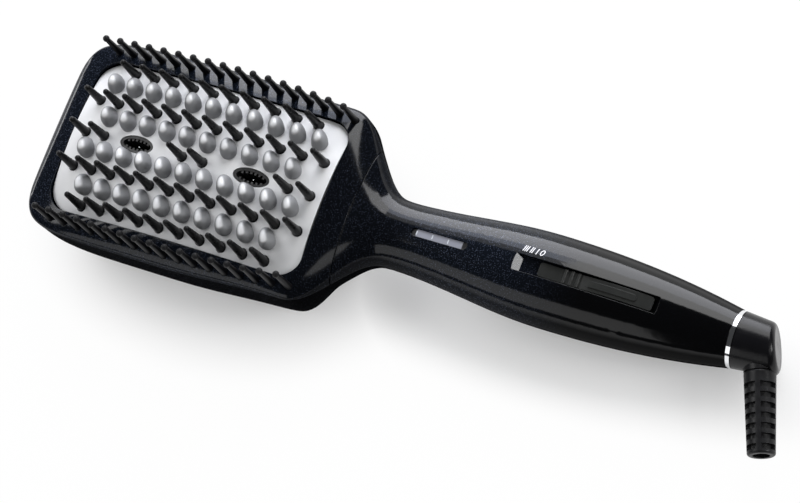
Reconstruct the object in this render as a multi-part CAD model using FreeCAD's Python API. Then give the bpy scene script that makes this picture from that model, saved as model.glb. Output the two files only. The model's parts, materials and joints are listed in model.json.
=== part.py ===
import FreeCAD, Part
import math
import os

# Hair straightening brush lying on its back, bristles up. Millimetres.
# X runs from the head to the cord end, Y across to the far side, Z up.
# The origin lies under the middle of the bristle field, on the surface that the brush rests on.

# Head outline
head_tip = 70.4
head_half_width = 43.4
head_corner_power = 7.0
crown_height = 47.7
head_parting = 36.2
back_power = 4.0
bezel_power = 1.8
rest_cut = 0.8
shoulder_x = 51.7
shoulder_half_width = 41.2
flat_end_x = 40.0
belly_end_x = 75.4
round_start_x = 53.6
round_end_x = 67.7

# Neck and handle outline
neck_x = 86.5
neck_half_width = 14.0
neck_top = 35.3
neck_bottom = 9.4
grip_x = 148.0
grip_half_width = 18.65
grip_taper_power = 2.2
top_level_x = 130.0
top_level = 35.4
top_end_slope = -0.22
handle_end = 224.3
end_half_width = 11.5
end_top = 24.0
end_bottom = 1.2
handle_power = 2.0

# Casing
wall = 2.2
parting_gap = 0.3
seam_x = 68.3
seam_gap = 0.3
collar_length = 12.0
tip_angle = 4.0
section_points = 17

# Heating plate
plate_length = 116.0
plate_width = 66.0
plate_corner = 9.0
plate_shift = -0.9
plate_thickness = 1.5
plate_radius_along = 347.0
plate_radius_across = 97.0
plate_gap = 0.5
seat_gap = 0.3

# Bristle pins and domes
pin_pitch = 9.5
pin_columns = 12
pin_row_pitch = 14.73
pin_root_radius = 2.0
pin_tip_radius = 1.2
pin_reach = 15.0
pin_clearance = 0.25
dome_near_length = 3.3
dome_far_length = 5.8
dome_half_width = 3.4
dome_height = 6.0
dome_turn = 28.0
dome_shift = 0.6

# Ion outlets in the centre row
outlet_x = 26.7
outlet_length = 15.9
outlet_width = 7.4
outlet_fit = 0.2
outlet_wall = 1.1
outlet_recess = 0.4
outlet_teeth = 6
tooth_spread = 0.7
tooth_size = 0.9
needle_radius = 0.8
needle_drop = 3.0

# Side bristles in the bezel
side_count = 17
side_shift = 0.6
side_half_span = 55.4
side_y = 38.9
side_bow = 2.2
side_skew = 0.8
side_root_radius = 1.45
side_neck_radius = 1.05
side_ball_radius = 1.4
side_height = 16.0
side_fit = 0.05
side_inside = 1.0

# Carrier, frame and heaters in the head
carrier_top = 32.2
carrier_thickness = 3.0
carrier_margin = 0.0
frame_margin = 0.2
frame_width = 6.0
frame_gap = 0.1
post_radius = 4.0
post_x = 47.5
post_y = 22.1
heater_y = 8.2
heater_width = 7.0
heater_length = 98.0
pad_height = 3.0
cutout_x = 13.2
cutout_length = 9.0
cutout_width = 6.0
sensor_radius = 2.4
ion_box_length = 30.0
ion_box_width = 18.0
ion_box_height = 12.0

# Screws
screw_radius = 1.4
screw_head_radius = 2.7
screw_head_height = 1.8
screw_fit = 0.05
boss_radius = 3.6
screw_bite = 7.0
screw_grip = 8.0
casing_screw_places = ((74.0, 0.0), (124.0, 10.2), (182.0, -10.2))

# Indicator window
window_x = 106.2
window_length = 24.2
window_width = 3.2
window_sink = 0.8
window_fit = 0.1
light_count = 3
light_size = 2.6
light_height = 1.2
light_gap = 0.5

# Control board
board_start = 92.0
board_end = 207.0
board_width = 12.0
board_top = 21.2
board_thickness = 1.6
board_post_radius = 2.5
board_post_places = (99.0, 146.0, 190.0)

# Switch
recess_start = 138.0
recess_end = 196.5
recess_width = 6.8
recess_depth = 2.4
recess_wall = 1.8
front_slope = 3.0
rear_slope = 2.0
slider_start = 148.4
slider_end = 194.2
slider_gap = 0.3
slider_side_gap = 0.6
slider_travel = 6.9
slider_sink = 0.9
slider_rise = 1.2
slider_corner = 1.0
slider_ribs = 3
rib_pitch = 2.7
rib_width = 1.4
rib_height = 0.75
ridge_length = 20.0
ridge_width = 2.6
ridge_rise = 0.45
ridge_shift = 2.0
stem_length = 8.0
stem_width = 2.6
carriage_length = 16.0
carriage_width = 5.4
carriage_thickness = 1.5
peg_length = 2.4
peg_width = 2.0
peg_dip = 1.6
switch_length = 34.0
switch_width = 8.0
switch_height = 3.2

# Swivel
swivel_height = 12.6
ring_radius = 11.3
ring_length = 1.7
cap_gap = 0.3
cap_length = 20.0
cap_radius = 11.2
cap_end_radius = 9.2
cap_rounding = 2.6
cap_cover = 0.9
spindle_radius = 5.4
spindle_fit = 0.05
spindle_reach = 30.0
spindle_bore = 3.0
bush_wall = 2.4
bush_flange = 1.6
bush_flange_radius = 8.9
clip_thickness = 1.6
clip_radius = 7.4
clip_groove = 0.9
contact_radius = 6.3
contact_length = 2.6
contact_spacing = 4.6
finger_width = 4.0

# Strain relief
relief_angle = 20.1
relief_root_x = 233.8
relief_root_start = 7.5
relief_exit = 10.4
relief_end = 42.5
relief_root_radius = 6.15
relief_end_radius = 5.35
relief_fit = 0.05
relief_bore = 3.3
relief_bore_depth = 32.0
relief_wire_bore = 2.0
relief_end_rounding = 0.9
relief_notches = 7
relief_notch_start = 15.2
relief_notch_pitch = 3.95
relief_notch_width = 2.1
relief_notch_depth = 1.5
relief_web = 2.0

# Leads
lead_radius = 0.9
lead_bend = 4.0
heater_lead_x = 47.0
heater_lead_end_y = 4.4
lead_end_x = 96.0
ion_lead_y = -7.0
ion_lead_turn_x = 50.0
ion_lead_end_y = -5.0

V = FreeCAD.Vector
crown_rise = crown_height - head_parting
carrier_bottom = carrier_top - carrier_thickness
board_bottom = board_top - board_thickness
half_pitches = (pin_columns - 1) / 2
ring_end = handle_end + ring_length
cap_start = ring_end + cap_gap
bush_bore = spindle_radius + spindle_fit
bush_radius = spindle_radius + spindle_fit + bush_wall
bush_start = handle_end - collar_length - bush_flange
reach_up = crown_height + 40


# Outline of the casing
def mix(a, b, share):
    return a + (b - a) * share


def ease(u):
    return u * u * (3 - 2 * u)


def ease_flat(u):
    return u ** 3 * (6 * u * u - 15 * u + 10)


def rounded(share, power):
    return (1 - min(abs(share), 1) ** power) ** (1 / power)


def hermite(x, start, end):
    x0, v0, s0 = start
    x1, v1, s1 = end
    span = x1 - x0
    u = (x - x0) / span
    value = mix(v0, v1, ease(u))
    return value + span * (s0 * (u ** 3 - 2 * u * u + u) + s1 * (u ** 3 - u * u))


def half_width(x):
    if x <= 0:
        return head_half_width * rounded(x / head_tip, head_corner_power)
    if x <= shoulder_x:
        return mix(head_half_width, shoulder_half_width, ease(x / shoulder_x))
    if x <= neck_x:
        share = ease_flat((x - shoulder_x) / (neck_x - shoulder_x))
        return mix(shoulder_half_width, neck_half_width, share)
    if x <= grip_x:
        return mix(neck_half_width, grip_half_width, ease((x - neck_x) / (grip_x - neck_x)))
    share = ((x - grip_x) / (handle_end - grip_x)) ** grip_taper_power
    return mix(grip_half_width, end_half_width, share)


def top_z(x):
    if x <= shoulder_x:
        return head_parting + crown_rise * rounded(x / head_tip, 2)
    shoulder_share = rounded(shoulder_x / head_tip, 2)
    shoulder_z = head_parting + crown_rise * shoulder_share
    shoulder_slope = -crown_rise * shoulder_x / (head_tip ** 2 * shoulder_share)
    if x <= neck_x:
        return hermite(x, (shoulder_x, shoulder_z, shoulder_slope), (neck_x, neck_top, 0))
    if x <= top_level_x:
        return hermite(x, (neck_x, neck_top, 0), (top_level_x, top_level, 0))
    return hermite(x, (top_level_x, top_level, 0), (handle_end, end_top, top_end_slope))


def bottom_z(x):
    if x <= 0:
        return head_parting - (head_parting + rest_cut) * rounded(x / head_tip, back_power)
    if x <= flat_end_x:
        return -rest_cut
    if x <= belly_end_x:
        return hermite(x, (flat_end_x, -rest_cut, 0), (belly_end_x, neck_bottom, 0))
    if x <= neck_x:
        return neck_bottom
    if x <= grip_x:
        return hermite(x, (neck_x, neck_bottom, 0), (grip_x, end_bottom, 0))
    return end_bottom


def parting_z(x):
    neck_parting = (neck_top + neck_bottom) / 2
    end_parting = (end_top + end_bottom) / 2
    slope = (end_parting - neck_parting) / (handle_end - neck_x)
    if x <= shoulder_x:
        return head_parting
    if x <= neck_x:
        return hermite(x, (shoulder_x, head_parting, 0), (neck_x, neck_parting, slope))
    return neck_parting + slope * (x - neck_x)


def handle_share(x):
    return ease(min(max((x - shoulder_x) / (neck_x - shoulder_x), 0), 1))


def round_share(x):
    return ease(min(max((x - round_start_x) / (round_end_x - round_start_x), 0), 1))


def half_curve(x, half, base, height, power):
    points = []
    for k in range(section_points):
        angle = math.pi * k / (section_points - 1)
        across = math.cos(angle)
        up = math.sin(angle)
        y = half * math.copysign(abs(across) ** (2 / power), across) if abs(across) > 1e-9 else 0
        z = base + height * (max(up, 0) ** (2 / power) if up > 1e-9 else 0)
        points.append(V(x, y, z))
    curve = Part.BSplineCurve()
    curve.interpolate(points)
    return curve.toShape(), points[0], points[-1]


def section(x, upper, inset, lap):
    base = parting_z(x)
    half = half_width(x) - inset
    if upper:
        height = top_z(x) - base - inset
        power = mix(bezel_power, handle_power, handle_share(x))
        seam = base + parting_gap / 2 - lap
        start = max(base, seam)
        height += base - start
    else:
        height = bottom_z(x) - base + inset
        if inset:
            height += rest_cut * (1 - handle_share(x))
        power = mix(back_power, handle_power, round_share(x))
        seam = base - parting_gap / 2 + lap
        start = min(base, seam)
        height += base - start
    curve, first, last = half_curve(x, half, start, height, power)
    if abs(seam - start) < 1e-6:
        return Part.Wire([curve, Part.makeLine(last, first)])
    low_first = V(x, first.y, seam)
    low_last = V(x, last.y, seam)
    sides = [Part.makeLine(last, low_last), Part.makeLine(low_last, low_first), Part.makeLine(low_first, first)]
    return Part.Wire([curve] + sides)


def spread(start, end, count):
    return [start + (end - start) * k / count for k in range(1, count + 1)]


def stations():
    places = []
    for k in range(9):
        angle = math.radians(tip_angle + (90 - tip_angle) * (k / 8) ** 1.2)
        places.append(-head_tip * math.cos(angle))
    places += spread(0, shoulder_x, 4)
    places += spread(shoulder_x, neck_x, 7)
    places += spread(neck_x, grip_x, 6)
    places += spread(grip_x, handle_end, 8)
    return places


def outer_half(upper):
    return Part.makeLoft([section(x, upper, 0, 0) for x in stations()], True, False)


def cavity_half(upper):
    first = -head_tip + wall + 0.3
    last = handle_end - collar_length
    places = [first] + [x for x in stations() if first + 1 < x < last - 1] + [last]
    return Part.makeLoft([section(x, upper, wall, 1.0) for x in places], True, False)


# Plain solids
def box(x0, x1, y0, y1, z0, z1):
    return Part.makeBox(x1 - x0, y1 - y0, z1 - z0, V(x0, y0, z0))


def post(x, y, radius, z0, z1):
    return Part.makeCylinder(radius, z1 - z0, V(x, y, z0))


def rod_x(radius, x0, x1):
    return Part.makeCylinder(radius, x1 - x0, V(x0, 0, swivel_height), V(1, 0, 0))


def pill(x, length, width, z0, z1, y=0.0):
    straight = (length - width) / 2
    ends = [post(x + side * straight, y, width / 2, z0, z1) for side in (-1, 1)]
    middle = box(x - straight, x + straight, y - width / 2, y + width / 2, z0, z1)
    return middle.fuse(ends).removeSplitter()


def oval(x, length, width, z0, z1):
    stretch = FreeCAD.Matrix()
    stretch.scale(length / 2, width / 2, 1)
    shape = post(0, 0, 1, z0, z1).transformGeometry(stretch)
    shape.translate(V(x, 0, 0))
    return shape


def rounded_block(x, length, width, corner, z0, z1):
    block = box(x - length / 2, x + length / 2, -width / 2, width / 2, z0, z1)
    upright = [e for e in block.Edges if abs(e.tangentAt(e.FirstParameter).z) > 0.99]
    return block.makeFillet(corner, upright)


def keep(shape, x0, x1):
    reach = 2 * head_half_width
    return shape.common(box(x0, x1, -reach, reach, -reach, reach))


def joined(shapes):
    if len(shapes) == 1:
        return shapes[0]
    return Part.makeCompound(shapes)


# Heating plate
def crown_z(x, y):
    ring = plate_radius_along - plate_radius_across + math.sqrt(plate_radius_across ** 2 - y * y)
    return crown_height - plate_radius_along + math.sqrt(ring ** 2 - x * x)


def crown_normal(x, y):
    centre = V(0, 0, crown_height - plate_radius_along)
    out = V(x, 0, crown_z(x, y)) - centre
    out.normalize()
    core = centre + out * (plate_radius_along - plate_radius_across)
    normal = V(x, y, crown_z(x, y)) - core
    normal.normalize()
    return normal


def under_crown(drop, floor):
    reach = plate_width
    radius = plate_radius_across - drop
    centre_z = crown_height - plate_radius_across
    edge_z = centre_z + math.sqrt(radius ** 2 - reach ** 2)
    left = V(0, -reach, edge_z)
    right = V(0, reach, edge_z)
    arc = Part.Arc(left, V(0, 0, centre_z + radius), right).toShape()
    low = floor - plate_length
    sides = [Part.makeLine(right, V(0, reach, low)), Part.makeLine(V(0, reach, low), V(0, -reach, low)),
             Part.makeLine(V(0, -reach, low), left)]
    face = Part.Face(Part.Wire([arc] + sides))
    pivot = V(0, 0, crown_height - plate_radius_along)
    sweep = 2 * math.degrees(math.asin(plate_length / plate_radius_along))
    face.rotate(pivot, V(0, 1, 0), -sweep / 2)
    body = face.revolve(pivot, V(0, 1, 0), sweep)
    return body.common(box(-plate_length, plate_length, -reach, reach, floor, crown_height + 1))


def pin_places(row):
    columns = range(pin_columns)
    if abs(row) == 2:
        columns = range(1, pin_columns - 1)
    if row == 0:
        middle = pin_columns // 2
        columns = (0, 1, middle - 1, middle, pin_columns - 2, pin_columns - 1)
    return [((c - half_pitches) * pin_pitch, row * pin_row_pitch) for c in columns]


def dome_places():
    places = []
    for row in range(4):
        y = (1.5 - row) * pin_row_pitch
        half_step = 0.5 if row % 2 == 0 else 0.0
        count = pin_columns - 1 if half_step else pin_columns - 2
        for k in range(count):
            column = k + half_step + (0 if half_step else 1)
            places.append(((column - half_pitches) * pin_pitch - dome_shift, y))
    return places


def half_dome(length, turn):
    stretch = FreeCAD.Matrix()
    stretch.scale(dome_half_width, length, dome_height)
    half = Part.makeSphere(1, V(0, 0, 0), V(0, 0, 1), -90, 90, 180)
    half.rotate(V(0, 0, 0), V(0, 0, 1), turn)
    return half.transformGeometry(stretch)


def dome(x, y):
    shape = half_dome(dome_far_length, 0).fuse(half_dome(dome_near_length, 180))
    shape.rotate(V(0, 0, 0), V(0, 0, 1), dome_turn)
    turn = FreeCAD.Rotation(V(0, 0, 1), crown_normal(x, y))
    shape.Placement = FreeCAD.Placement(V(x, y, crown_z(x, y)), turn).multiply(shape.Placement)
    return shape


def plate_outline(margin, z0, z1):
    return rounded_block(plate_shift, plate_length - 2 * margin, plate_width - 2 * margin,
                         plate_corner - margin, z0, z1)


def make_heating_plate():
    floor = carrier_top
    slab = under_crown(0, floor).common(plate_outline(0, floor, reach_up))
    domes = [dome(x, y) for x, y in dome_places()]
    slab = slab.fuse(domes)
    slab = slab.cut(under_crown(plate_thickness, floor - 1))
    holes = [post(x, y, pin_root_radius + pin_clearance, floor, reach_up)
             for row in range(-2, 3) for x, y in pin_places(row)]
    holes += [oval(side * outlet_x, outlet_length, outlet_width, floor, reach_up) for side in (-1, 1)]
    return slab.cut(holes)


def make_pin(x, y):
    tip = crown_z(x, y) + pin_reach
    foot = crown_z(x, y) - plate_thickness
    root = V(x, y, carrier_top)
    profile = [root, V(x + pin_root_radius, y, carrier_top), V(x + pin_root_radius, y, foot),
               V(x + pin_tip_radius, y, tip - pin_tip_radius)]
    lines = [Part.makeLine(a, b) for a, b in zip(profile[:-1], profile[1:])]
    slant = math.sqrt(0.5) * pin_tip_radius
    crest = V(x, y, tip)
    bend = V(x + slant, y, tip - pin_tip_radius + slant)
    lines.append(Part.Arc(profile[-1], bend, crest).toShape())
    lines.append(Part.makeLine(crest, root))
    return Part.Face(Part.Wire(lines)).revolve(V(x, y, 0), V(0, 0, 1), 360)


def make_pin_row(row):
    return joined([make_pin(x, y) for x, y in pin_places(row)])


# Ion outlets
def make_outlet(side):
    x = side * outlet_x
    length = outlet_length - 2 * outlet_fit
    width = outlet_width - 2 * outlet_fit
    inner_length = length - 2 * outlet_wall
    inner_width = width - 2 * outlet_wall
    body = oval(x, length, width, carrier_top, reach_up).common(under_crown(outlet_recess, carrier_top))
    body = body.cut(oval(x, inner_length, inner_width, carrier_top, reach_up))
    teeth = []
    for k in range(outlet_teeth):
        share = tooth_spread * (2 * k / (outlet_teeth - 1) - 1)
        tooth_x = x + share * inner_length / 2
        inner_y = inner_width / 2 * math.sqrt(1 - share ** 2)
        for edge in (-1, 1):
            y0 = edge * (inner_y + outlet_wall / 2)
            y1 = edge * (inner_y - tooth_size)
            teeth.append(box(tooth_x - tooth_size / 2, tooth_x + tooth_size / 2, min(y0, y1), max(y0, y1),
                             carrier_top, crown_z(tooth_x, 0) - 2 * outlet_recess))
    return body.fuse(teeth).removeSplitter()


def make_ion_needles():
    needles = []
    for side in (-1, 1):
        x = side * outlet_x
        height = crown_z(x, 0) - needle_drop - carrier_top
        needles.append(Part.makeCone(needle_radius, needle_radius / 4, height, V(x, 0, carrier_top)))
    return joined(needles)


def make_ion_generator():
    floor = wall + seat_gap
    return box(-ion_box_length / 2, ion_box_length / 2, -ion_box_width / 2, ion_box_width / 2,
               floor, floor + ion_box_height)


# Side bristles
def side_places(side):
    places = []
    for k in range(side_count):
        share = 2 * k / (side_count - 1) - 1
        x = side_shift + share * side_half_span
        y = side_y - side_bow * share ** 2 - side_skew * share ** 3
        places.append((x, side * y))
    return places


def bezel_z(x, y):
    share = min(abs(y) / half_width(x), 1)
    return head_parting + (top_z(x) - head_parting) * rounded(share, bezel_power)


def make_side_bristle(x, y):
    surface = bezel_z(x, y)
    low = max(surface - wall - side_inside, head_parting + parting_gap)
    centre = surface + side_height - side_ball_radius
    join = math.sqrt(side_ball_radius ** 2 - side_neck_radius ** 2)
    root = V(x, y, low)
    profile = [root, V(x + side_root_radius, y, low), V(x + side_root_radius, y, surface + 1),
               V(x + side_neck_radius, y, centre - join)]
    lines = [Part.makeLine(a, b) for a, b in zip(profile[:-1], profile[1:])]
    crest = V(x, y, centre + side_ball_radius)
    lines.append(Part.Arc(profile[-1], V(x + side_ball_radius, y, centre), crest).toShape())
    lines.append(Part.makeLine(crest, root))
    return Part.Face(Part.Wire(lines)).revolve(V(x, y, 0), V(0, 0, 1), 360)


def make_side_bristles(side):
    return joined([make_side_bristle(x, y) for x, y in side_places(side)])


# Carrier, frame and heaters
def carrier_screw_places():
    return [(sx * post_x, sy * post_y) for sx in (-1, 1) for sy in (-1, 1)]


def make_carrier():
    body = plate_outline(carrier_margin, carrier_bottom, carrier_top)
    holes = [post(x, y, screw_radius + screw_fit, carrier_bottom - 1, carrier_top + 1)
             for x, y in carrier_screw_places()]
    return body.cut(holes)


def make_carrier_screws():
    screws = []
    for x, y in carrier_screw_places():
        head = post(x, y, screw_head_radius, carrier_top, carrier_top + screw_head_height)
        shank = post(x, y, screw_radius, carrier_bottom - screw_bite, carrier_top)
        screws.append(head.fuse(shank).removeSplitter())
    return joined(screws)


def make_plate_frame():
    ring = plate_outline(frame_margin, carrier_top, crown_height)
    ring = ring.cut(plate_outline(frame_margin + frame_width, carrier_top - 1, crown_height + 1))
    holes = [post(x, y, pin_root_radius + pin_clearance, carrier_top - 1, reach_up)
             for row in range(-2, 3) for x, y in pin_places(row)]
    return ring.common(under_crown(plate_thickness + frame_gap, carrier_top)).cut(holes)


def make_heater_bars():
    room = under_crown(plate_thickness + seat_gap, carrier_top + pad_height)
    bars = []
    for side in (-1, 1):
        y = side * heater_y
        blank = box(-heater_length / 2, heater_length / 2, y - heater_width / 2, y + heater_width / 2,
                    carrier_top + pad_height, crown_height)
        bars.append(blank.common(room))
    return joined(bars)


def make_heater_pads():
    pads = []
    for side in (-1, 1):
        y = side * heater_y
        pads.append(box(-heater_length / 2, heater_length / 2, y - heater_width / 2, y + heater_width / 2,
                        carrier_top, carrier_top + pad_height))
    return joined(pads)


def make_thermal_cutout():
    block = box(cutout_x - cutout_length / 2, cutout_x + cutout_length / 2, -cutout_width / 2, cutout_width / 2,
                carrier_top, crown_height)
    return block.common(under_crown(plate_thickness + seat_gap, carrier_top))


def make_temperature_sensor():
    stud = post(-cutout_x, 0, sensor_radius, carrier_top, crown_height)
    return stud.common(under_crown(plate_thickness + seat_gap, carrier_top))


# Switch, in a frame that follows the handle's upper line
recess_middle = (recess_start + recess_end) / 2
recess_tilt = math.atan2(top_z(recess_start) - top_z(recess_end), recess_end - recess_start)
recess_z = (top_z(recess_start) + top_z(recess_end)) / 2
recess_length = (recess_end - recess_start) / math.cos(recess_tilt)


def along(x):
    return (x - recess_middle) / math.cos(recess_tilt)


def tilted(shape):
    shape.rotate(V(0, 0, 0), V(0, 1, 0), math.degrees(recess_tilt))
    shape.translate(V(recess_middle, 0, recess_z))
    return shape


def recess_void():
    half = recess_length / 2
    high = 6.0
    rear = half + rear_slope / recess_depth * high
    front = -half - front_slope / recess_depth * high
    outline = [V(-half + front_slope, 0, -recess_depth), V(half - rear_slope, 0, -recess_depth),
               V(rear, 0, high), V(front, 0, high)]
    face = Part.Face(Part.makePolygon(outline + outline[:1]))
    face.translate(V(0, -recess_width / 2, 0))
    return tilted(face.extrude(V(0, recess_width, 0)))


def recess_tub():
    half = recess_length / 2 + recess_wall
    width = recess_width / 2 + recess_wall
    return tilted(box(-half, half, -width, width, -recess_depth - recess_wall, 6.0))


def stem_middle():
    return along((slider_start + slider_end) / 2)


def stem_slot():
    middle = stem_middle()
    x0 = middle - stem_length / 2 - slider_travel - slider_gap
    x1 = middle + stem_length / 2 + slider_gap
    width = stem_width / 2 + slider_gap
    return tilted(box(x0, x1, -width, width, -recess_depth - recess_wall - 1, -recess_depth + 1))


def slider_block(x0, x1, paddle_start, low, edge):
    crest = V((paddle_start + x1) / 2, 0, edge + slider_rise)
    start = V(paddle_start, 0, edge)
    end = V(x1, 0, edge)
    lines = Part.makePolygon([start, V(x0, 0, edge), V(x0, 0, low), V(x1, 0, low), end])
    face = Part.Face(Part.Wire(lines.Edges + [Part.Arc(start, crest, end).toShape()]))
    face.translate(V(0, -recess_width, 0))
    return face.extrude(V(0, 2 * recess_width, 0))


def make_switch_slider():
    x0 = along(slider_start)
    x1 = along(slider_end)
    low = -recess_depth + slider_gap
    half = recess_width / 2 - slider_side_gap
    edge = -slider_sink
    pad_end = x0 + (x1 - x0) / 5
    paddle_start = pad_end + slider_ribs * rib_pitch
    high = edge + slider_rise + 1
    plan = rounded_block((x0 + x1) / 2, x1 - x0, 2 * half, slider_corner, low - 1, high)
    body = slider_block(x0, x1, paddle_start, low, edge).common(plan)
    rib_radius = rib_width / 2
    ribs = []
    for k in range(slider_ribs):
        foot = V(pad_end + (k + 0.5) * rib_pitch, -half, edge + rib_height - rib_radius)
        ribs.append(Part.makeCylinder(rib_radius, 2 * half, foot, V(0, 1, 0)))
    ridge_x = (paddle_start + x1) / 2 - ridge_shift
    raised = slider_block(x0, x1, paddle_start, low, edge + ridge_rise)
    ridge = raised.common(pill(ridge_x, ridge_length, ridge_width, low, high))
    middle = stem_middle()
    stem = box(middle - stem_length / 2, middle + stem_length / 2, -stem_width / 2, stem_width / 2,
               -recess_depth - recess_wall - slider_gap, low)
    return tilted(body.fuse(ribs + [ridge, stem]).removeSplitter())


def make_switch_carriage():
    middle = stem_middle()
    top = -recess_depth - recess_wall - slider_gap
    body = box(middle - carriage_length / 2, middle + carriage_length / 2, -carriage_width / 2,
               carriage_width / 2, top - carriage_thickness, top)
    drop = recess_z + middle * -math.sin(recess_tilt) + (top - carriage_thickness) - switch_top()
    peg = box(middle - peg_length / 2, middle + peg_length / 2, -peg_width / 2, peg_width / 2,
              top - carriage_thickness - drop - peg_dip, top)
    return tilted(body.fuse(peg).removeSplitter())


def switch_top():
    return board_top + switch_height


def make_switch_body():
    middle = recess_middle + stem_middle() * math.cos(recess_tilt)
    x0 = middle - slider_travel / 2 - switch_length / 2
    body = box(x0, x0 + switch_length, -switch_width / 2, switch_width / 2, board_top, switch_top())
    slot_x0 = middle - slider_travel - 1.5 * peg_length
    slot_x1 = middle + peg_length
    half = peg_width / 2 + slider_gap
    slot = box(slot_x0, slot_x1, -half, half, switch_top() - peg_dip - 2 * slider_gap, switch_top() + 1)
    return body.cut(slot)


# Board, lights and window
def make_board():
    return box(board_start, board_end, -board_width / 2, board_width / 2, board_bottom, board_top)


def light_places():
    step = window_length / light_count
    return [window_x + (k - (light_count - 1) / 2) * step for k in range(light_count)]


def make_lights():
    half = light_size / 2
    return joined([box(x - half, x + half, -half, half, board_top, board_top + light_height)
                   for x in light_places()])


def make_window(outer_top):
    low = board_top + light_height + light_gap
    body = pill(window_x, window_length - 2 * window_fit, window_width - 2 * window_fit, low, reach_up)
    sunk = outer_top.copy()
    sunk.translate(V(0, 0, -window_sink))
    return body.common(sunk)


# Casing
def casing_bosses(outer, upper):
    bosses = []
    for x, y in casing_screw_places:
        level = parting_z(x)
        z0, z1 = (level + parting_gap / 2, reach_up) if upper else (-1, level - parting_gap / 2)
        bosses.append(post(x, y, boss_radius, z0, z1).common(outer))
    return bosses


def casing_screw_seat(x):
    return parting_z(x) - screw_grip


def casing_screw_holes(upper):
    holes = []
    for x, y in casing_screw_places:
        seat = casing_screw_seat(x)
        tip = parting_z(x) + screw_bite + seat_gap
        radius = screw_radius + screw_fit
        holes.append(post(x, y, radius, -1, tip))
        if not upper:
            holes.append(post(x, y, screw_head_radius + seat_gap, -1, seat))
    return holes


def make_casing_screws():
    screws = []
    for x, y in casing_screw_places:
        seat = casing_screw_seat(x)
        head = post(x, y, screw_head_radius, seat - screw_head_height, seat)
        shank = post(x, y, screw_radius, seat, parting_z(x) + screw_bite)
        screws.append(head.fuse(shank).removeSplitter())
    return joined(screws)


def bush_seat():
    return rod_x(bush_radius + spindle_fit, handle_end - collar_length - 1, handle_end + 1)


def make_head_bezel(outer, cavity):
    shell = keep(outer.cut(cavity), -2 * head_tip, seam_x - seam_gap / 2)
    opening = plate_outline(-plate_gap, 0, reach_up)
    holes = []
    for side in (-1, 1):
        for x, y in side_places(side):
            holes.append(post(x, y, side_root_radius + side_fit, 0, reach_up))
    return shell.cut([opening] + holes)


def make_handle_top(outer, cavity):
    tub = recess_tub().common(outer)
    shell = outer.cut(cavity).fuse([tub] + casing_bosses(outer, True))
    window = pill(window_x, window_length, window_width, 0, reach_up)
    cuts = [recess_void(), stem_slot(), window, bush_seat()] + casing_screw_holes(True)
    return keep(shell.cut(cuts), seam_x + seam_gap / 2, 2 * handle_end)


def make_back_shell(outer, cavity):
    shell = outer.cut(cavity)
    posts = [post(x, y, post_radius, -1, carrier_bottom).common(outer) for x, y in carrier_screw_places()]
    posts += [post(x, 0, board_post_radius, -1, board_bottom).common(outer) for x in board_post_places]
    shell = shell.fuse(posts + casing_bosses(outer, False))
    reach = 2 * head_half_width
    under = box(-2 * head_tip, neck_x, -reach, reach, -reach, 0)
    cuts = [under, bush_seat()] + casing_screw_holes(False)
    for x, y in carrier_screw_places():
        cuts.append(post(x, y, screw_radius + screw_fit, carrier_bottom - screw_bite - seat_gap, carrier_top))
    return shell.cut(cuts)


# Swivel end
def make_trim_ring():
    ring = rod_x(ring_radius, handle_end, ring_end)
    return ring.cut(rod_x(bush_radius + spindle_fit, handle_end - 1, ring_end + 1))


def make_swivel_bush():
    sleeve = rod_x(bush_radius, bush_start, ring_end).fuse(rod_x(bush_flange_radius, bush_start,
                                                              bush_start + bush_flange))
    return sleeve.cut(rod_x(bush_bore, bush_start - 1, ring_end + 1)).removeSplitter()


def clip_start():
    return bush_start - seat_gap - clip_thickness


def relief_direction():
    angle = math.radians(relief_angle)
    return V(math.sin(angle), -math.cos(angle), 0)


def relief_rod(radius, start, end, end_radius=None):
    direction = relief_direction()
    origin = V(relief_root_x, 0, swivel_height) + direction * start
    if end_radius is None:
        return Part.makeCylinder(radius, end - start, origin, direction)
    return Part.makeCone(radius, end_radius, end - start, origin, direction)


def make_swivel_cap():
    end = cap_start + cap_length
    z = swivel_height
    points = [V(cap_start, 0, z), V(cap_start, 0, z + cap_radius), V(end, 0, z + cap_end_radius), V(end, 0, z)]
    face = Part.Face(Part.makePolygon(points + points[:1]))
    body = face.revolve(V(0, 0, z), V(1, 0, 0), 360)
    outward = V(-relief_direction().y, relief_direction().x, 0)
    flank = V(relief_root_x, 0, z) + outward * (relief_root_radius + relief_fit + cap_cover)
    beyond = Part.makeBox(2 * cap_length, 4 * cap_radius, 4 * cap_radius, V(0, -2 * cap_radius, -2 * cap_radius))
    beyond.Placement = FreeCAD.Placement(flank, FreeCAD.Rotation(V(1, 0, 0), outward))
    body = body.cut(beyond)
    rim = [e for e in body.Edges if abs((e.CenterOfMass - flank).dot(outward)) < 0.01]
    body = body.makeFillet(cap_rounding, rim)
    spindle_start = cap_start - spindle_reach
    body = body.fuse(rod_x(spindle_radius, spindle_start, cap_start)).removeSplitter()
    groove = rod_x(spindle_radius + 1, clip_start(), clip_start() + clip_thickness)
    groove = groove.cut(rod_x(spindle_radius - clip_groove, 0, end))
    bore = rod_x(spindle_bore, spindle_start - 1, relief_root_x)
    socket = relief_rod(relief_root_radius + relief_fit, relief_root_start, relief_end)
    passage = relief_rod(spindle_bore, 0, relief_end)
    return body.cut([groove, bore, socket, passage])


def make_spindle_clip():
    ring = rod_x(clip_radius, clip_start(), clip_start() + clip_thickness)
    ring = ring.cut(rod_x(spindle_radius - clip_groove + spindle_fit, 0, handle_end))
    gap = box(clip_start() - 1, clip_start() + clip_thickness + 1, -spindle_bore, spindle_bore, swivel_height,
              swivel_height + 2 * clip_radius)
    return ring.cut(gap)


def contact_starts():
    first = cap_start - spindle_reach + seat_gap
    return [first, first + contact_spacing]


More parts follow.
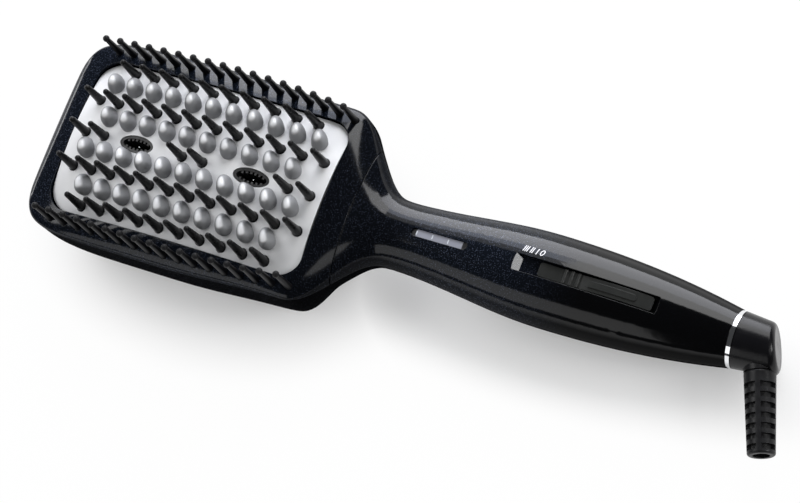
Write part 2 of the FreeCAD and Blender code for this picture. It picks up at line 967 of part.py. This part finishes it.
def make_contact_rings():
    rings = []
    for x in contact_starts():
        ring = rod_x(contact_radius, x, x + contact_length)
        rings.append(ring.cut(rod_x(spindle_radius + spindle_fit, 0, handle_end)))
    return joined(rings)


def make_contact_fingers():
    fingers = []
    low = swivel_height + contact_radius + seat_gap
    for x in contact_starts():
        fingers.append(box(x, x + contact_length, -finger_width / 2, finger_width / 2, low, board_bottom))
    return joined(fingers)


def make_strain_relief():
    root = relief_rod(relief_root_radius, relief_root_start, relief_exit)
    sleeve = relief_rod(relief_root_radius, relief_exit, relief_end, relief_end_radius)
    direction = relief_direction()
    rim = [e for e in sleeve.Edges if e.Closed and e.CenterOfMass.dot(direction) > relief_end]
    sleeve = sleeve.makeFillet(relief_end_rounding, rim)
    body = root.fuse(sleeve).removeSplitter()
    cuts = [relief_rod(relief_bore, relief_end - relief_bore_depth, relief_end + 1),
            relief_rod(relief_wire_bore, 0, relief_end)]
    sideways = V(direction.y, -direction.x, 0)
    for k in range(relief_notches):
        start = relief_notch_start + k * relief_notch_pitch
        share = (start - relief_exit) / (relief_end - relief_exit)
        core = mix(relief_root_radius, relief_end_radius, share) - relief_notch_depth
        ring = relief_rod(2 * relief_root_radius, start, start + relief_notch_width)
        ring = ring.cut(relief_rod(core, 0, 2 * relief_end))
        origin = V(relief_root_x, 0, swivel_height)
        reach = 3 * relief_root_radius
        upright = Part.makeBox(relief_web, 2 * reach, 3 * relief_end, V(-relief_web / 2, -reach, 0))
        level = Part.makeBox(2 * reach, relief_web, 3 * relief_end, V(-reach, -relief_web / 2, 0))
        for web in (upright, level):
            web.Placement = FreeCAD.Placement(origin, FreeCAD.Rotation(sideways, V(0, 0, 1), direction, "ZXY"))
        cuts.append(ring.cut([upright, level]))
    return body.cut(cuts)


# Leads
def lead(points, radius, bend):
    edges = []
    start = points[0]
    for before, corner, after in zip(points[:-2], points[1:-1], points[2:]):
        first = (before - corner).normalize()
        second = (after - corner).normalize()
        half = first.getAngle(second) / 2
        setback = bend / math.tan(half)
        a = corner + first * setback
        b = corner + second * setback
        inward = (first + second).normalize()
        middle = corner + inward * (bend / math.sin(half) - bend)
        edges += [Part.makeLine(start, a), Part.Arc(a, middle, b).toShape()]
        start = b
    edges.append(Part.makeLine(start, points[-1]))
    ring = Part.Wire([Part.Circle(points[0], points[1] - points[0], radius).toShape()])
    return Part.Wire(edges).makePipeShell([ring], True, False)


def make_heater_leads():
    leads = []
    level = board_top + lead_radius
    for side in (-1, 1):
        points = [V(heater_lead_x, side * heater_y, carrier_bottom),
                  V(heater_lead_x, side * heater_y, level),
                  V(lead_end_x, side * heater_lead_end_y, level)]
        leads.append(lead(points, lead_radius, lead_bend))
    return joined(leads)


def make_ion_lead():
    start = V(ion_box_length / 2, ion_lead_y, wall + seat_gap + ion_box_height / 2)
    corner = V(ion_lead_turn_x, ion_lead_y, start.z)
    end = V(lead_end_x, ion_lead_end_y, board_bottom - lead_radius)
    rise = V(board_start - lead_bend, ion_lead_end_y, end.z)
    return lead([start, corner, rise, end], lead_radius, lead_bend)


def main():
    os.makedirs("parts", exist_ok=True)
    outer_top = outer_half(True)
    outer_back = outer_half(False)
    cavity_top = cavity_half(True)
    cavity_back = cavity_half(False)
    nodes = {
        "head_bezel": make_head_bezel(outer_top, cavity_top),
        "handle_top": make_handle_top(outer_top, cavity_top),
        "back_shell": make_back_shell(outer_back, cavity_back),
        "heating_plate": make_heating_plate(),
        "plate_frame": make_plate_frame(),
        "bristle_carrier": make_carrier(),
        "carrier_screws": make_carrier_screws(),
        "heater_bars": make_heater_bars(),
        "heater_pads": make_heater_pads(),
        "thermal_cutout": make_thermal_cutout(),
        "temperature_sensor": make_temperature_sensor(),
        "ion_needles": make_ion_needles(),
        "ion_generator": make_ion_generator(),
        "control_board": make_board(),
        "indicator_lights": make_lights(),
        "indicator_window": make_window(outer_top),
        "switch_body": make_switch_body(),
        "switch_slider": make_switch_slider(),
        "switch_carriage": make_switch_carriage(),
        "casing_screws": make_casing_screws(),
        "trim_ring": make_trim_ring(),
        "swivel_bush": make_swivel_bush(),
        "swivel_cap": make_swivel_cap(),
        "spindle_clip": make_spindle_clip(),
        "contact_rings": make_contact_rings(),
        "contact_fingers": make_contact_fingers(),
        "strain_relief": make_strain_relief(),
        "heater_leads": make_heater_leads(),
        "ion_lead": make_ion_lead(),
    }
    for row in range(-2, 3):
        nodes["bristle_row_%d" % (3 - row)] = make_pin_row(row)
    for side, name in ((1, "far"), (-1, "near")):
        nodes["side_bristles_" + name] = make_side_bristles(side)
    for side, name in ((-1, "tip"), (1, "neck")):
        nodes["ion_outlet_" + name] = make_outlet(side)
    for name, shape in nodes.items():
        print(name, "valid" if shape.isValid() else "INVALID", len(shape.Solids), round(shape.Volume, 1))
        shape.exportStep("parts/%s.step" % name)


main()
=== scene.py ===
import bmesh
import bpy
import json
import math
from mathutils import Matrix, Vector
from mathutils.bvhtree import BVHTree


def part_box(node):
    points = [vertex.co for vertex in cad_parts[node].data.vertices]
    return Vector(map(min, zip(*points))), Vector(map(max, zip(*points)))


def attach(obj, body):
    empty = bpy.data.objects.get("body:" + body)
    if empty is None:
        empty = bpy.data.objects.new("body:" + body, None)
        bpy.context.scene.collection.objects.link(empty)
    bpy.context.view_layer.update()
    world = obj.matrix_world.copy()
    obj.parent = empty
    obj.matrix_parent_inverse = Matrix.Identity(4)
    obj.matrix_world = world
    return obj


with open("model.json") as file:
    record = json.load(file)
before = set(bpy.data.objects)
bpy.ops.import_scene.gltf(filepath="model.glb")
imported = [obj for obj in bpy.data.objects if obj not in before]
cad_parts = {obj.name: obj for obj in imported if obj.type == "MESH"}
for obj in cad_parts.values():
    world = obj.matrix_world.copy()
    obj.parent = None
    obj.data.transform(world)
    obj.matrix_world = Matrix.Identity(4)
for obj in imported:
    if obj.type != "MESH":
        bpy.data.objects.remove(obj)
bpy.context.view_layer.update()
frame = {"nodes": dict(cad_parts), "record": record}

# Metres, in the frame of the CAD model: X to the cord end, Y to the far side, Z up. Colours are linear.
nodes = frame["nodes"]
scene = bpy.context.scene
scene.view_settings.view_transform = "Standard"


# Building blocks of the materials
def shader_of(mat):
    return mat.node_tree.nodes["Principled BSDF"]


def plain(name, color, roughness, metallic=0.0, coat=0.0, specular=0.5):
    coat_roughness = 0.1
    mat = bpy.data.materials.new(name)
    mat.use_nodes = True
    shader = shader_of(mat)
    shader.inputs["Base Color"].default_value = (*color, 1)
    shader.inputs["Roughness"].default_value = roughness
    shader.inputs["Metallic"].default_value = metallic
    shader.inputs["Coat Weight"].default_value = coat
    shader.inputs["Coat Roughness"].default_value = coat_roughness
    shader.inputs["Specular IOR Level"].default_value = specular
    return mat


def add(mat, kind, **values):
    node = mat.node_tree.nodes.new(kind)
    for key, value in values.items():
        setattr(node, key, value)
    return node


def link(mat, out, socket):
    mat.node_tree.links.new(out, socket)


def object_coords(mat):
    return add(mat, "ShaderNodeTexCoord").outputs["Object"]


def place_along(mat, axis):
    parts = add(mat, "ShaderNodeSeparateXYZ")
    link(mat, object_coords(mat), parts.inputs[0])
    return parts.outputs[axis]


def slope(mat):
    # Z of the surface's normal: 1 where it lies flat, 0 where it stands upright
    parts = add(mat, "ShaderNodeSeparateXYZ")
    link(mat, add(mat, "ShaderNodeNewGeometry").outputs["Normal"], parts.inputs[0])
    return parts.outputs["Z"]


def math_node(mat, operation, first, second):
    node = add(mat, "ShaderNodeMath", operation=operation, use_clamp=True)
    for socket, value in zip(node.inputs, (first, second)):
        if isinstance(value, (int, float)):
            socket.default_value = value
        else:
            link(mat, value, socket)
    return node.outputs[0]


def ramp(mat, value, span, start, end):
    node = add(mat, "ShaderNodeMapRange", interpolation_type="SMOOTHSTEP")
    link(mat, value, node.inputs["Value"])
    node.inputs["From Min"].default_value = span[0]
    node.inputs["From Max"].default_value = span[1]
    node.inputs["To Min"].default_value = start
    node.inputs["To Max"].default_value = end
    return node.outputs["Result"]


def mix_color(mat, factor, first, second):
    node = add(mat, "ShaderNodeMix", data_type="RGBA")
    link(mat, factor, node.inputs[0])
    for socket, value in ((node.inputs[6], first), (node.inputs[7], second)):
        if isinstance(value, tuple):
            socket.default_value = (*value, 1)
        else:
            link(mat, value, socket)
    return node.outputs[2]


def noise(mat, scale, detail=2.0):
    node = add(mat, "ShaderNodeTexNoise")
    link(mat, object_coords(mat), node.inputs["Vector"])
    node.inputs["Scale"].default_value = scale
    node.inputs["Detail"].default_value = detail
    return node.outputs["Fac"]


def bump(mat, height, strength, distance):
    node = add(mat, "ShaderNodeBump")
    node.inputs["Strength"].default_value = strength
    node.inputs["Distance"].default_value = distance
    link(mat, height, node.inputs["Height"])
    link(mat, node.outputs["Normal"], shader_of(mat).inputs["Normal"])


def vary_roughness(mat, scale, low, high):
    usual_noise = (0.3, 0.7)
    link(mat, ramp(mat, noise(mat, scale), usual_noise, low, high), shader_of(mat).inputs["Roughness"])


def rounded_edges(mat, radius, socket):
    node = add(mat, "ShaderNodeBevel", samples=6)
    node.inputs["Radius"].default_value = radius
    link(mat, node.outputs["Normal"], shader_of(mat).inputs[socket])


# Materials of the pieces
def flake_lacquer(name, navy, coat, sparkle):
    black = (0.0011, 0.0011, 0.0013)
    dull_flake = (0.012, 0.016, 0.028)
    bright_flake = (0.085, 0.10, 0.145)
    flakes_per_metre = 2600.0
    flake_rim = (0.25, 0.5)
    flake_choice = (0.55, 0.75)
    flake_metal = 0.6
    flake_tilt = 0.25
    flake_depth = 0.0004
    edge_radius = 0.0003

    mat = plain(name, navy, roughness=0.42, coat=coat, specular=0.0)
    shader = shader_of(mat)
    cells = add(mat, "ShaderNodeTexVoronoi")
    link(mat, object_coords(mat), cells.inputs["Vector"])
    cells.inputs["Scale"].default_value = flakes_per_metre
    parts = add(mat, "ShaderNodeSeparateColor")
    link(mat, cells.outputs["Color"], parts.inputs[0])
    disc = ramp(mat, cells.outputs["Distance"], flake_rim, 1.0, 0.0)
    chosen = ramp(mat, parts.outputs[0], flake_choice, 0.0, 1.0)

    # Painted shade: the navy and its flakes are dimmed at the neck and turn to black along the handle,
    # where the flakes catch no light
    neck_start = (0.045, 0.06)
    neck_end = (0.085, 0.105)
    neck_shade_depth = 0.6
    handle_shade_span = (0.13, 0.17)
    navy_left_in_shade = 0.03
    x = place_along(mat, "X")
    # Painted shade along the handle, from the window towards the cord end
    handle = ramp(mat, x, handle_shade_span, 1.0, navy_left_in_shade)
    from_head = ramp(mat, x, neck_start, 0.0, 1.0)
    to_window = ramp(mat, x, neck_end, 1.0, 0.0)
    neck_shade = math_node(mat, "MULTIPLY", math_node(mat, "MULTIPLY", from_head, to_window), neck_shade_depth)
    painted_light = math_node(mat, "MULTIPLY", handle, math_node(mat, "SUBTRACT", 1.0, neck_shade))

    flakes = math_node(mat, "MULTIPLY", math_node(mat, "MULTIPLY", disc, chosen), painted_light)
    flakes = math_node(mat, "MULTIPLY", flakes, sparkle)
    flake_color = mix_color(mat, parts.outputs[1], dull_flake, bright_flake)
    ground_color = mix_color(mat, painted_light, black, navy)
    link(mat, mix_color(mat, flakes, ground_color, flake_color), shader.inputs["Base Color"])
    link(mat, math_node(mat, "MULTIPLY", flakes, flake_metal), shader.inputs["Metallic"])
    bump(mat, parts.outputs[2], flake_tilt, flake_depth)

    # The clear coat is thinner on the flanks than on top
    flank_to_top = (0.44, 0.62)
    flank_coat = 0.2 * coat
    link(mat, ramp(mat, slope(mat), flank_to_top, flank_coat, coat), shader.inputs["Coat Weight"])
    rounded_edges(mat, edge_radius, "Coat Normal")
    return mat


def side_bristle():
    dark = (0.004, 0.004, 0.005)
    ball_color = (0.014, 0.014, 0.015)
    ball_start = (0.0530, 0.0542)
    mat = plain("side_bristle", dark, 0.34, specular=0.1)
    ball = ramp(mat, place_along(mat, "Z"), ball_start, 0.0, 1.0)
    link(mat, mix_color(mat, ball, dark, ball_color), shader_of(mat).inputs["Base Color"])
    bump(mat, noise(mat, 900), strength=0.06, distance=0.0004)
    return mat


def bristle_pin():
    mat = plain("bristle_pin", (0.0035, 0.0035, 0.004), 0.3, specular=0.2)
    vary_roughness(mat, scale=300, low=0.26, high=0.34)
    bump(mat, noise(mat, 1200), strength=0.05, distance=0.0003)
    return mat


def plate_metal():
    flat = (0.74, 0.745, 0.755)
    dome_side_shade = (0.31, 0.315, 0.325)
    side_to_flat = (0.66, 0.94)
    mat = plain("plate_metal", flat, 0.65, metallic=0.5)
    # Painted shade: the steep sides of the domes are coloured a darker grey than the flat plate
    level = ramp(mat, slope(mat), side_to_flat, 0.0, 1.0)
    link(mat, mix_color(mat, level, dome_side_shade, flat), shader_of(mat).inputs["Base Color"])
    vary_roughness(mat, scale=45, low=0.62, high=0.68)
    bump(mat, noise(mat, 2600), strength=0.02, distance=0.0002)
    return mat


def rubber():
    mat = plain("relief_rubber", (0.006, 0.006, 0.007), 0.4, specular=0.25)
    vary_roughness(mat, scale=500, low=0.36, high=0.46)
    bump(mat, noise(mat, 2200), strength=0.10, distance=0.0003)
    return mat


def window_strip():
    # A pale strip between two black ends
    tint = (0.27, 0.28, 0.33)
    end_color = (0.003, 0.003, 0.004)
    end_length = 0.0020
    blur = 0.0002
    mat = plain("window_tint", tint, 0.3)
    x = place_along(mat, "X")
    low, high = (corner[0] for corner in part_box("indicator_window"))
    left = ramp(mat, x, (low + end_length, low + end_length + blur), 0.0, 1.0)
    right = ramp(mat, x, (high - end_length - blur, high - end_length), 1.0, 0.0)
    strip = math_node(mat, "MULTIPLY", left, right)
    link(mat, mix_color(mat, strip, end_color, tint), shader_of(mat).inputs["Base Color"])
    return mat


def slider_plastic():
    edge_radius = 0.0002
    mat = plain("slider_black", (0.017, 0.018, 0.017), 0.34, specular=0.3)
    vary_roughness(mat, scale=150, low=0.30, high=0.38)
    rounded_edges(mat, edge_radius, "Normal")
    return mat


def grained(name, color, roughness, scale=900.0, metallic=0.0, specular=0.5):
    patch_scale = scale / 6
    mat = plain(name, color, roughness, metallic, specular=specular)
    vary_roughness(mat, patch_scale, low=roughness * 0.85, high=roughness * 1.15)
    bump(mat, noise(mat, scale), strength=0.08, distance=0.0003)
    return mat


casing_navy = (0.0040, 0.0056, 0.0092)
# Painted shade: the back shell gets a darker navy than the casing
shaded_back_navy = (0.0016, 0.0019, 0.0027)
materials = {
    "casing_gloss": flake_lacquer("casing_gloss", casing_navy, coat=0.6, sparkle=0.9),
    "plate_metal": plate_metal(),
    "bristle_black": bristle_pin(),
    "outlet_black": grained("outlet_black", (0.012, 0.012, 0.013), 0.42),
    "slider_black": slider_plastic(),
    "window_tint": window_strip(),
    "trim_chrome": plain("trim_chrome", (0.86, 0.87, 0.89), 0.07, metallic=1.0),
    "cap_black": grained("cap_black", (0.005, 0.005, 0.006), 0.24, specular=0.25),
    "relief_rubber": rubber(),
    "inner_plastic": grained("inner_plastic", (0.55, 0.54, 0.5), 0.45),
    "pad_mica": grained("pad_mica", (0.7, 0.62, 0.45), 0.5, scale=300.0),
    "heater_metal": grained("heater_metal", (0.66, 0.67, 0.68), 0.35, scale=600.0, metallic=1.0),
    "screw_steel": grained("screw_steel", (0.6, 0.61, 0.62), 0.3, scale=800.0, metallic=1.0),
    "contact_brass": grained("contact_brass", (0.78, 0.6, 0.3), 0.28, scale=800.0, metallic=1.0),
    "board_green": grained("board_green", (0.05, 0.26, 0.12), 0.4, scale=400.0),
    "light_white": plain("light_white", (0.85, 0.86, 0.9), 0.2),
    "lead_red": grained("lead_red", (0.5, 0.04, 0.03), 0.45),
    "lead_white": grained("lead_white", (0.8, 0.8, 0.78), 0.45),
}
side_material = side_bristle()
# Painted shade: a darker copy of the casing lacquer, with fewer flakes and a thinner coat, for the back
# shell
shaded_back_material = flake_lacquer("casing_back_shaded", shaded_back_navy, coat=0.04, sparkle=0.2)
mark_material = plain("mark_white", (0.78, 0.78, 0.80), 0.45)
tick_material = plain("tick_grey", (0.62, 0.65, 0.7), 0.3)

for part in frame["record"]["subparts"]:
    mesh = nodes[part["node"]].data
    mesh.materials.clear()
    own = materials[part["material_slot"]]
    if part["node"].startswith("side_bristles"):
        own = side_material
    if part["node"] == "back_shell":
        own = shaded_back_material
    mesh.materials.append(own)


# Printed marks: thin faces laid on the surface below them
def surface_tree(node):
    bm = bmesh.new()
    bm.from_mesh(nodes[node].data)
    tree = BVHTree.FromBMesh(bm)
    bm.free()
    return tree


def lay_on(tree, points, lift):
    above_all = 0.2
    down = Vector((0, 0, -1))
    laid = []
    for x, y in points:
        hit = tree.ray_cast(Vector((x, y, above_all)), down)[0]
        laid.append((x, y, hit.z + lift))
    return laid


def printed(name, outlines, node, lift, mat):
    tree = surface_tree(node)
    vertices = []
    faces = []
    for outline in outlines:
        start = len(vertices)
        vertices += lay_on(tree, outline, lift)
        faces.append(list(range(start, start + len(outline))))
    mesh = bpy.data.meshes.new(name)
    mesh.from_pydata(vertices, [], faces)
    mesh.materials.append(mat)
    obj = bpy.data.objects.new(name, mesh)
    scene.collection.objects.link(obj)
    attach(obj, "body")


def bar_quads(x, y, width, height, slant, count=6):
    def at(k, side):
        up = height * (k / count - 0.5)
        return (x + side * width / 2 + slant * up, y + up)

    return [[at(k, -1), at(k, 1), at(k + 1, 1), at(k + 1, -1)] for k in range(count)]


def ring_quads(x, y, width, height, line, slant, count=20):
    def at(k, inset):
        angle = 2 * math.pi * k / count
        up = (height / 2 - inset) * math.sin(angle)
        return (x + (width / 2 - inset) * math.cos(angle) + slant * up, y + up)

    return [[at(k, 0), at(k + 1, 0), at(k + 1, line), at(k, line)] for k in range(count)]


# Switch marks III, II, I and 0, beside the recess
mark_y = 0.0061
mark_height = 0.0026
mark_slant = 0.22
mark_lift = 0.00006
bar_width = 0.00038
bar_pitch = 0.00074
bar_marks = ((3, 0.1411), (2, 0.1436), (1, 0.1457))
zero_x = 0.1478
zero_width = 0.0017
zero_line = 0.00038
for count, x in bar_marks:
    bars = []
    for k in range(count):
        bar_x = x + (k - (count - 1) / 2) * bar_pitch
        bars += bar_quads(bar_x, mark_y, bar_width, mark_height, mark_slant)
    printed("mark_%d" % count, bars, "handle_top", mark_lift, mark_material)
zero = ring_quads(zero_x, mark_y, zero_width, mark_height, zero_line, mark_slant)
printed("mark_0", zero, "handle_top", mark_lift, mark_material)

# Ticks across the window strip
tick_width = 0.0005
tick_length = 0.0017
tick_lift = 0.00004
tick_places = (0.0964, 0.1032, 0.1100)
for k, x in enumerate(tick_places):
    tick = bar_quads(x, 0.0, tick_width, tick_length, 0.0)
    printed("window_tick_%d" % (k + 1), tick, "indicator_window", tick_lift, tick_material)


# Floor: white, with the brush's shadow
def far_from(mat, centre, radii):
    # Distance from the middle of an ellipse on the floor: 1 on its edge
    scaled = add(mat, "ShaderNodeMapping")
    scaled.inputs["Scale"].default_value = (1 / radii[0], 1 / radii[1], 0)
    scaled.inputs["Location"].default_value = (-centre[0] / radii[0], -centre[1] / radii[1], 0)
    link(mat, object_coords(mat), scaled.inputs["Vector"])
    length = add(mat, "ShaderNodeVectorMath", operation="LENGTH")
    link(mat, scaled.outputs[0], length.inputs[0])
    return length.outputs["Value"]


def floor_white():
    # The floor glows less near the brush, where its shadow falls
    shadow_reach = (0.6, 1.35)
    glow_near = 0.3
    glow_far = 0.97
    mat = plain("floor_white", (0.95, 0.95, 0.95), roughness=0.8, specular=0.0)
    head = far_from(mat, centre=(0.0, -0.012), radii=(0.078, 0.05))
    handle = far_from(mat, centre=(0.15, -0.012), radii=(0.10, 0.028))
    nearest = add(mat, "ShaderNodeMath", operation="MINIMUM")
    link(mat, head, nearest.inputs[0])
    link(mat, handle, nearest.inputs[1])
    share = ramp(mat, nearest.outputs[0], shadow_reach, glow_near, glow_far)
    seen = add(mat, "ShaderNodeLightPath")
    direct = math_node(mat, "ADD", seen.outputs["Is Camera Ray"], seen.outputs["Is Glossy Ray"])
    direct = math_node(mat, "ADD", direct, seen.outputs["Is Transmission Ray"])
    glow = add(mat, "ShaderNodeEmission")
    blend = add(mat, "ShaderNodeMixShader")
    link(mat, math_node(mat, "MULTIPLY", direct, share), blend.inputs[0])
    link(mat, shader_of(mat).outputs[0], blend.inputs[1])
    link(mat, glow.outputs[0], blend.inputs[2])
    link(mat, blend.outputs[0], mat.node_tree.nodes["Material Output"].inputs["Surface"])
    return mat


floor_half = 4.0
floor_z = -0.0003
floor_corners = [(side_x * floor_half, side_y * floor_half, floor_z)
                 for side_x, side_y in ((-1, -1), (1, -1), (1, 1), (-1, 1))]
floor_mesh = bpy.data.meshes.new("floor")
floor_mesh.from_pydata(floor_corners, [], [(0, 1, 2, 3)])
floor = bpy.data.objects.new("floor", floor_mesh)
scene.collection.objects.link(floor)
floor_mesh.materials.append(floor_white())

# Light: a dim world and softboxes
world = bpy.data.worlds.new("studio")
scene.world = world
world.use_nodes = True
background = world.node_tree.nodes["Background"]
background.inputs["Color"].default_value = (0.95, 0.97, 1.0, 1)
background.inputs["Strength"].default_value = 0.05

white = (1, 1, 1)
faint_blue = (0.94, 0.95, 1)
pale_blue = (0.82, 0.87, 1)


def panel(name, place, target, size, level, color=white):
    # The level is the brightness of the panel itself, where 1 is white
    width, height = size
    lamp = bpy.data.lights.new(name, "AREA")
    lamp.shape = "RECTANGLE"
    lamp.size = width
    lamp.size_y = height
    lamp.energy = level * 4 * width * height
    lamp.color = color
    obj = bpy.data.objects.new(name, lamp)
    aim = Vector(target) - Vector(place)
    obj.rotation_euler = aim.to_track_quat("-Z", "Y").to_euler()
    obj.location = place
    scene.collection.objects.link(obj)


def arc_panel(name, x_range, degrees, level, side=1, color=white):
    # A softbox along X, at a height given in degrees, on the far side (1) or the near side (-1)
    reach = 1.05
    axis_z = 0.03
    low, high = degrees
    middle = math.radians((low + high) / 2)
    height = 2 * reach * math.tan(math.radians((high - low) / 2))
    x = (x_range[0] + x_range[1]) / 2
    place = (x, side * reach * math.cos(middle), axis_z + reach * math.sin(middle))
    panel(name, place, (x, 0, axis_z), (x_range[1] - x_range[0], height), level, color)


head_middle = (0, 0, 0.04)
arc_panel("far_low", (-0.6, 0.4), (0, 33), 5.4, color=faint_blue)
arc_panel("far_left", (-0.95, -0.6), (0, 33), 4.0)
arc_panel("far_middle", (-0.6, -0.05), (33, 45), 3.4, color=pale_blue)
arc_panel("far_high", (-0.6, -0.05), (45, 57), 0.9)
arc_panel("far_right", (-0.05, 0.5), (33, 56), 4.0)
arc_panel("near_low", (-0.8, 0.2), (10, 40), 0.95, side=-1)
panel("key_right", (0.95, -0.1, 0.95), (0.05, 0, 0.04), (0.6, 0.6), 1.2)
panel("right_low", (1.11, 0.24, 0.49), (0.14, 0, 0.03), (0.3, 0.3), 10.0)
panel("left_low", (-1.08, 0.22, 0.11), head_middle, (0.5, 0.1), 4.5)
panel("over_plate", (-0.82, -0.05, 1.1), head_middle, (1.1, 0.6), 3.1)

# Camera, as fitted to the photo
camera_data = bpy.data.cameras.new("camera")
camera_data.sensor_width = 36.0
camera_data.sensor_fit = "HORIZONTAL"
camera_data.lens = 113.0
camera_data.clip_end = 10.0
camera = bpy.data.objects.new("camera", camera_data)
camera_place = (0.4684, -0.2126, 0.9096)
right = Vector((0.8855, 0.3573, -0.2971))
up = Vector((-0.2589, 0.9103, 0.3229))
back = Vector((0.3858, -0.2090, 0.8986))
turn = Matrix((right, up, back)).transposed().to_4x4()
camera.matrix_world = Matrix.Translation(camera_place) @ turn
scene.collection.objects.link(camera)
scene.camera = camera
